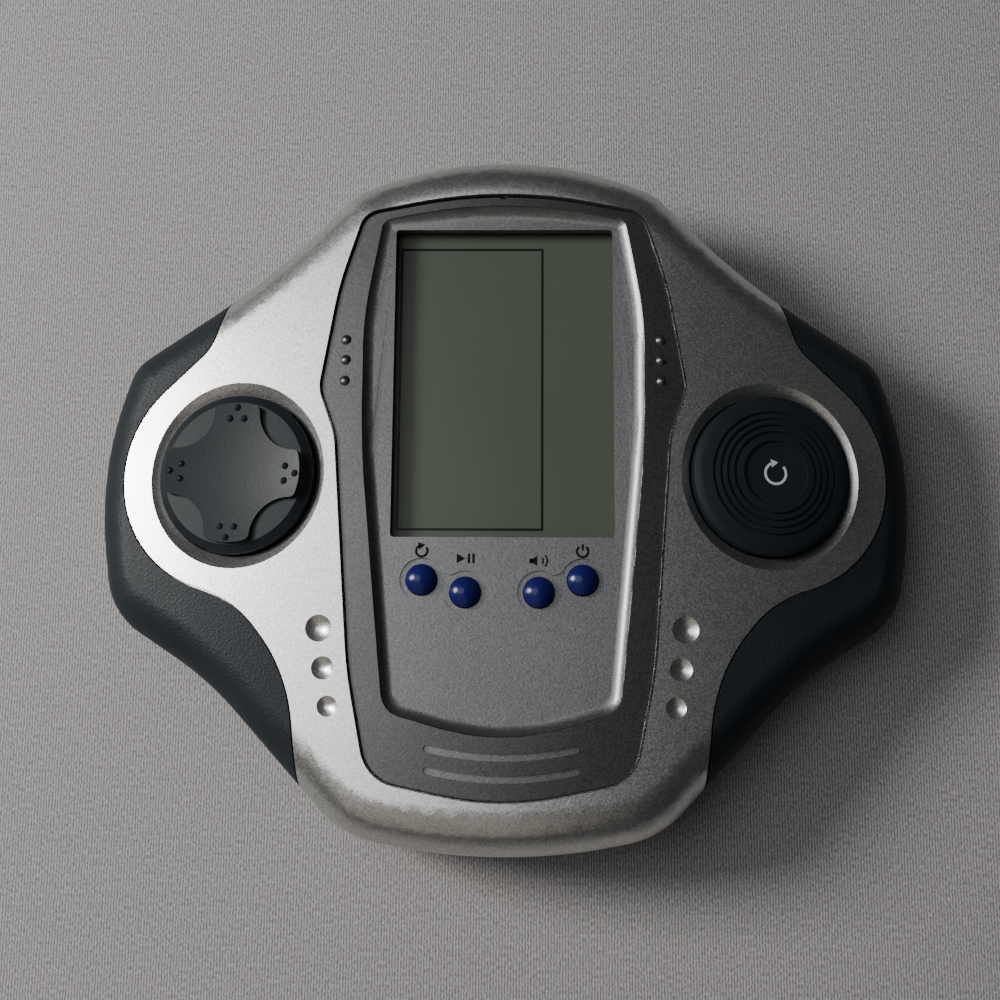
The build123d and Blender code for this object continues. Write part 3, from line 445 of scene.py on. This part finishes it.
def calmed(mesh, normals, fixed):
    """Every free corner leans to the corners beside it, as far as no sharp edge is between them."""
    leaning = list(normals)
    meeting = [[] for vertex in mesh.vertices]
    for facet in mesh.polygons:
        for corner in facet.loop_indices:
            meeting[mesh.loops[corner].vertex_index].append((corner, facet.area))
            total = normals[corner] * OWN_WEIGHT
            for other in facet.loop_indices:
                if other != corner and normals[other].dot(normals[corner]) > SMOOTH_COSINE:
                    total += normals[other]
            leaning[corner] = total.normalized()
    settled = list(normals)
    for corners in meeting:
        for corner, area in corners:
            if corner not in fixed:
                total = Vector((0, 0, 0))
                for other, weight in corners:
                    if normals[other].dot(normals[corner]) > SMOOTH_COSINE:
                        total += leaning[other] * weight
                settled[corner] = total.normalized() if total.length else normals[corner]
    return settled


print("corners are smooth up to a cosine of", round(SMOOTH_COSINE, 3))

# %% Corner normals from facets and sheets
SHEET_LEAN = math.cos(math.radians(20))
SHEET_REACH = 0.06
SHEET_HOLD = 0.1
SOFT_SHEET = "front_shell"
CALMING_ROUNDS = 5


def averaged(mesh, directions, around, facet):
    """The corner normals of a facet, as averages of the facets round each of its vertices."""
    own = directions[facet.index]
    for vertex in facet.vertices:
        total = Vector((0, 0, 0))
        for other in around[vertex]:
            if directions[other].dot(own) > SMOOTH_COSINE:
                total += directions[other] * mesh.polygons[other].area
        yield total.normalized() if total.length else own


def true_normals(skin, sheet, soft):
    """The mesh of skin gets normals from clean facets, and from the sheet where it lies on one."""
    mesh = skin.data
    directions = facet_directions(mesh)
    around = [[] for vertex in mesh.vertices]
    for facet in mesh.polygons:
        for vertex in facet.vertices:
            around[vertex].append(facet.index)
    normals = [None] * len(mesh.loops)
    fixed = set()
    for facet in mesh.polygons:
        own = directions[facet.index]
        for corner, normal in zip(facet.loop_indices, averaged(mesh, directions, around, facet)):
            normals[corner] = normal
            if sheet:
                gap, direction = sheet(mesh.vertices[mesh.loops[corner].vertex_index].co / MM)
                share = (gap / SHEET_REACH)**2
                if share < 1 and own.dot(direction) > SHEET_LEAN:
                    own_share = share if soft else 0.0
                    normals[corner] = (normal * own_share + direction * (1 - own_share)).normalized()
                    if own_share < SHEET_HOLD:
                        fixed.add(corner)
    for calming in range(CALMING_ROUNDS):
        normals = calmed(mesh, normals, fixed)
    mesh.normals_split_custom_set(normals)


print("sheets hold corners within", SHEET_REACH, "mm")

# %% [markdown]
# ### The skins in place
# Twelve moulded pieces are seen from outside, and each gets a smooth copy that stands in for its solid,
# with the same slot and on the same body, so that it moves as the solid does. The flat lens and the
# pieces inside keep their solids and only get the material of their slot.

# %% Smooth copies of the outer pieces
MERGE_REACH = 0.002 * MM
SKINS = [
    "front_shell", "rear_shell", "left_grip", "right_grip", "face_plate", "battery_door",
    "dpad_cap", "rotate_button", "reset_button", "start_button", "sound_button", "power_button",
]


def smoothed(node):
    """A merged, smooth copy of a node, dressed and put in the node's place."""
    skin = bpy.data.objects.new(node + "_skin", frame["nodes"][node].data.copy())
    bpy.context.scene.collection.objects.link(skin)
    only(skin)
    bpy.ops.object.mode_set(mode="EDIT")
    bpy.ops.mesh.select_all(action="SELECT")
    bpy.ops.mesh.remove_doubles(threshold=MERGE_REACH)
    bpy.ops.object.mode_set(mode="OBJECT")
    bpy.ops.object.shade_smooth()
    true_normals(skin, SHEETS.get(node), node == SOFT_SHEET)
    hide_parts(node)
    dress(skin, node_slots[node], node_bodies[node])
    return skin


skins = {node: smoothed(node) for node in SKINS}
for node, obj in frame["nodes"].items():
    if node not in skins:
        obj.data.materials.clear()
        obj.data.materials.append(finishes[node_slots[node]])
print("skins:", {name: len(obj.data.polygons) for name, obj in skins.items()})

# %% [markdown]
# ## Printed marks
# The display has a thin dark frame printed on its glass, which bounds the field of play. The keys are
# told apart by plain symbols: a turning arrow, a play and pause sign, a speaker and a power sign. The
# round button has a turning arrow too, in pale ink. A picture could be laid on the surface, but strokes
# stay sharp at any distance: a quad, a triangle, or an edge that is spun into an arc. The strokes of a
# mark are joined and thickened into a skin of ink.

# %% Strokes in the plane, in millimetres
ARC_STEP = 12
LEAST_STEPS = 4
MERGE_SHARE = 0.001


def placed(obj, across=0.0, along=0.0, turn=0.0, wide=1.0, high=1.0):
    """The mesh of obj is scaled, turned and moved in its own plane."""
    scale = Matrix.Diagonal((wide * MM, high * MM, MM, 1))
    spot = Matrix.Translation(Vector((across, along, 0)) * MM)
    obj.data.transform(spot @ Matrix.Rotation(math.radians(turn), 4, "Z") @ scale)
    return obj


def bar(wide, high, across=0.0, along=0.0):
    """A straight stroke."""
    bpy.ops.object.select_all(action="DESELECT")
    bpy.ops.mesh.primitive_plane_add(size=1.0)
    return placed(bpy.context.object, across, along, wide=wide, high=high)


def triangle(reach, across=0.0, along=0.0, turn=0.0):
    """An arrow's head, whose tips are reach away from its middle."""
    bpy.ops.object.select_all(action="DESELECT")
    bpy.ops.mesh.primitive_circle_add(vertices=3, radius=1.0, fill_type="NGON")
    return placed(bpy.context.object, across, along, turn, reach, reach)


def arc(radius, wide, start, sweep, across=0.0):
    """A flat ring sector: an edge of the stroke's width, spun round the middle."""
    bpy.ops.object.select_all(action="DESELECT")
    bpy.ops.mesh.primitive_plane_add(size=wide)
    stroke = bpy.context.object
    bpy.ops.object.mode_set(mode="EDIT")
    bpy.ops.transform.resize(value=(1, 0, 1))
    bpy.ops.mesh.remove_doubles(threshold=wide * MERGE_SHARE)
    bpy.ops.transform.translate(value=(radius, 0, 0))
    bpy.ops.mesh.select_all(action="SELECT")
    steps = max(LEAST_STEPS, round(sweep / ARC_STEP))
    bpy.ops.mesh.spin(steps=steps, angle=-math.radians(sweep), center=(0, 0, 0), axis=(0, 0, 1))
    bpy.ops.object.mode_set(mode="OBJECT")
    return placed(stroke, across, turn=start)


print("stroke makers ready")

# %% Two inks and the maker of marks
INK = 0.02
UP = (0, 0, 1)
BLACK = {"roughness": 0.7, "spread": 0.1, "Specular_IOR_Level": 0.1}
black_ink = finish("black_ink", (0.003, 0.003, 0.003), (0.006, 0.006, 0.006), **BLACK)
white_ink = finish("white_ink", (0.40, 0.42, 0.43), (0.52, 0.54, 0.55), **DULL)


def mark(name, strokes, origin, normal, paint, body):
    """Joined strokes, given the thickness of ink and laid on the plane through origin in millimetres."""
    bpy.ops.object.select_all(action="DESELECT")
    for stroke in strokes:
        stroke.select_set(True)
    bpy.context.view_layer.objects.active = strokes[0]
    bpy.ops.object.join()
    ink = bpy.context.object
    ink.name = name
    coat = ink.modifiers.new("ink", "SOLIDIFY")
    coat.thickness = INK * MM
    coat.offset = 0.0
    bpy.ops.object.modifier_apply(modifier=coat.name)
    lean = Vector(UP).rotation_difference(Vector(normal)).to_matrix().to_4x4()
    ink.data.transform(Matrix.Translation(Vector(origin) * MM) @ lean)
    ink.data.materials.clear()
    ink.data.materials.append(paint)
    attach(ink, body)
    return ink


print("ink thickness in millimetres:", INK)

# %% The frame on the display
FIELD_LEFT, FIELD_RIGHT = -19.0, 7.05
FIELD_LOW, FIELD_HIGH = -7.5, 45.3
FIELD_LINE = 0.45
GLASS_HEIGHT = 22.2
field_across = (FIELD_LEFT + FIELD_RIGHT) / 2
field_along = (FIELD_LOW + FIELD_HIGH) / 2
field_wide = FIELD_RIGHT - FIELD_LEFT
field_high = FIELD_HIGH - FIELD_LOW
field_strokes = [
    bar(FIELD_LINE, field_high + FIELD_LINE, FIELD_LEFT, field_along),
    bar(FIELD_LINE, field_high + FIELD_LINE, FIELD_RIGHT, field_along),
    bar(field_wide - FIELD_LINE, FIELD_LINE, field_across, FIELD_LOW),
    bar(field_wide - FIELD_LINE, FIELD_LINE, field_across, FIELD_HIGH),
]
field = mark("field_frame", field_strokes, (0, 0, GLASS_HEIGHT + INK), UP, black_ink, "case")
print("field frame faces:", len(field.data.polygons))

# %% The symbols of the keys and of the round button
DISH_HEIGHT = 25.3
DISC_HEIGHT = 1.99
KEY_LINE = 0.42
ARROW_START, ARROW_SWEEP = 110, 290
ARROW_HEAD = 1.9
HEAD_PLACE, HEAD_TURN = math.radians(100), -80
WAVE_START, WAVE_SWEEP, WAVE_LINE = -42, 84, 0.3


def turning_arrow(radius, wide):
    """An open ring with a head at its end."""
    ring = arc(radius, wide, ARROW_START, ARROW_SWEEP)
    across, along = radius * math.cos(HEAD_PLACE), radius * math.sin(HEAD_PLACE)
    return [ring, triangle(ARROW_HEAD * wide, across, along, HEAD_TURN)]


def play_pause():
    """A triangle that points right and two upright bars."""
    play = triangle(reach=1.0, across=-1.1, turn=-90)
    return [play, bar(KEY_LINE, high=1.7, across=0.55), bar(KEY_LINE, high=1.7, across=1.35)]


def speaker():
    """A box, a horn and two waves."""
    box = bar(wide=0.6, high=0.8, across=-1.3)
    horn = triangle(reach=1.0, across=-0.7, turn=90)
    waves = [arc(radius, WAVE_LINE, WAVE_START, WAVE_SWEEP, across=0.05) for radius in (0.8, 1.5)]
    return [box, horn, *waves]


def power_sign():
    """An open ring with a bar in its gap."""
    return [arc(radius=1.0, wide=KEY_LINE, start=125, sweep=290), bar(KEY_LINE, high=1.1, along=0.75)]


KEY_MARKS = {
    "reset_mark": (turning_arrow(radius=1.0, wide=KEY_LINE), (-14.2, -11.9)),
    "start_mark": (play_pause(), (-6.4, -13.2)),
    "sound_mark": (speaker(), (6.4, -13.6)),
    "power_mark": (power_sign(), (14.2, -11.9)),
}
for name, (strokes, (across, along)) in KEY_MARKS.items():
    mark(name, strokes, (across, along, DISH_HEIGHT + INK), UP, black_ink, "case")
disc = WING_PLACE + WING_LEAN * (DISC_HEIGHT + INK)
mark("button_mark", turning_arrow(radius=1.9, wide=0.45), disc, WING_LEAN, white_ink, "rotate_button")
print("marks:", list(KEY_MARKS) + ["button_mark"])

# %% [markdown]
# ## The table
# The console lies on a plain grey cloth. Real threads would be far too many faces for so little, so
# the table is one plane, and its material draws the threads: fine bands that run along the view, made
# uneven by a noise that is stretched the same way.

# %% The cloth
CLOTH = {"roughness": 0.85, "spread": 0.05}
THREAD_BANDS = {"Scale": 590.0, "Distortion": 1.6, "Detail": 1.0, "Detail Scale": 0.8}
WAVE_FACTOR = 1
BAND_SHARE = 0.8
SLUB_STRETCH = (3000.0, 1400.0, 1.0)
SLUB_CONTRAST = 2.6
SLUB_LEVEL = 0.1


def cloth():
    """Grey cloth, whose tone follows threads and the slubs in them."""
    material = finish("table_cloth", (0.30, 0.295, 0.30), (0.34, 0.335, 0.34), **CLOTH)
    tree = material.node_tree
    place = add_node(tree, "ShaderNodeTexCoord").outputs["Object"]
    stretched = add_node(tree, "ShaderNodeMapping", {"Vector": place, "Scale": SLUB_STRETCH})
    noise = {"Vector": stretched.outputs[0], "Scale": 1.0, "Detail": 2.0}
    slubs = add_node(tree, "ShaderNodeTexNoise", noise)
    bands = {"Vector": place, **THREAD_BANDS}
    threads = add_node(tree, "ShaderNodeTexWave", bands, wave_type="BANDS", bands_direction="X")
    uneven = maths(tree, "MULTIPLY_ADD", centred(tree, slubs.outputs[0]), SLUB_CONTRAST, SLUB_LEVEL)
    tone = maths(tree, "MULTIPLY_ADD", threads.outputs[WAVE_FACTOR], BAND_SHARE, uneven, clamp=True)
    colour = two_tones(tree, tone, (0.145, 0.139, 0.137), (0.38, 0.37, 0.365))
    tree.links.new(colour, tree.nodes["Principled BSDF"].inputs["Base Color"])
    return material


print("cloth bands:", THREAD_BANDS)

# %% The table's top
TABLE_SIZE = 4.0

bpy.ops.object.select_all(action="DESELECT")
bpy.ops.mesh.primitive_plane_add(size=TABLE_SIZE, location=(0, 0, 0))
table = bpy.context.object
table.name = "table"
table.data.materials.append(cloth())
print("table:", TABLE_SIZE, "m wide")

# %% [markdown]
# ## Light
# A low soft light stands at the left, as a window does, so that the left of the silver shell is nearly
# white and the shadow falls to the right. A wider, weaker one from higher up keeps the rest readable,
# and a faint warm one from the foot end stands for what the room throws back into the lower shoulder.
# One bright sky could light it all, but metallic paint needs dark places to mirror as well.


# %% Lights and the room
def area_light(name, place, size, power, colour):
    """A round light that looks at the middle of the console."""
    lamp = bpy.data.lights.new(name, "AREA")
    lamp.shape = "DISK"
    lamp.size = size
    lamp.energy = power
    lamp.color = colour
    holder = bpy.data.objects.new(name, lamp)
    holder.location = place
    holder.rotation_euler = (-Vector(place)).to_track_quat("-Z", "Y").to_euler()
    bpy.context.scene.collection.objects.link(holder)


area_light("window", place=(-0.62, 0.15, 0.46), size=0.26, power=8.0, colour=(1.0, 0.985, 0.96))
area_light("fill", place=(-0.45, 0.15, 1.10), size=0.9, power=4.4, colour=(0.95, 0.97, 1.0))
area_light("bounce", place=(-0.20, -0.46, 0.46), size=0.7, power=0.36, colour=(1.0, 0.90, 0.76))

ROOM_COLOUR = (0.6, 0.62, 0.66, 1)
ROOM_STRENGTH = 0.04
world = bpy.data.worlds.new("room")
world.use_nodes = True
background = world.node_tree.nodes["Background"]
background.inputs["Color"].default_value = ROOM_COLOUR
background.inputs["Strength"].default_value = ROOM_STRENGTH
bpy.context.scene.world = world
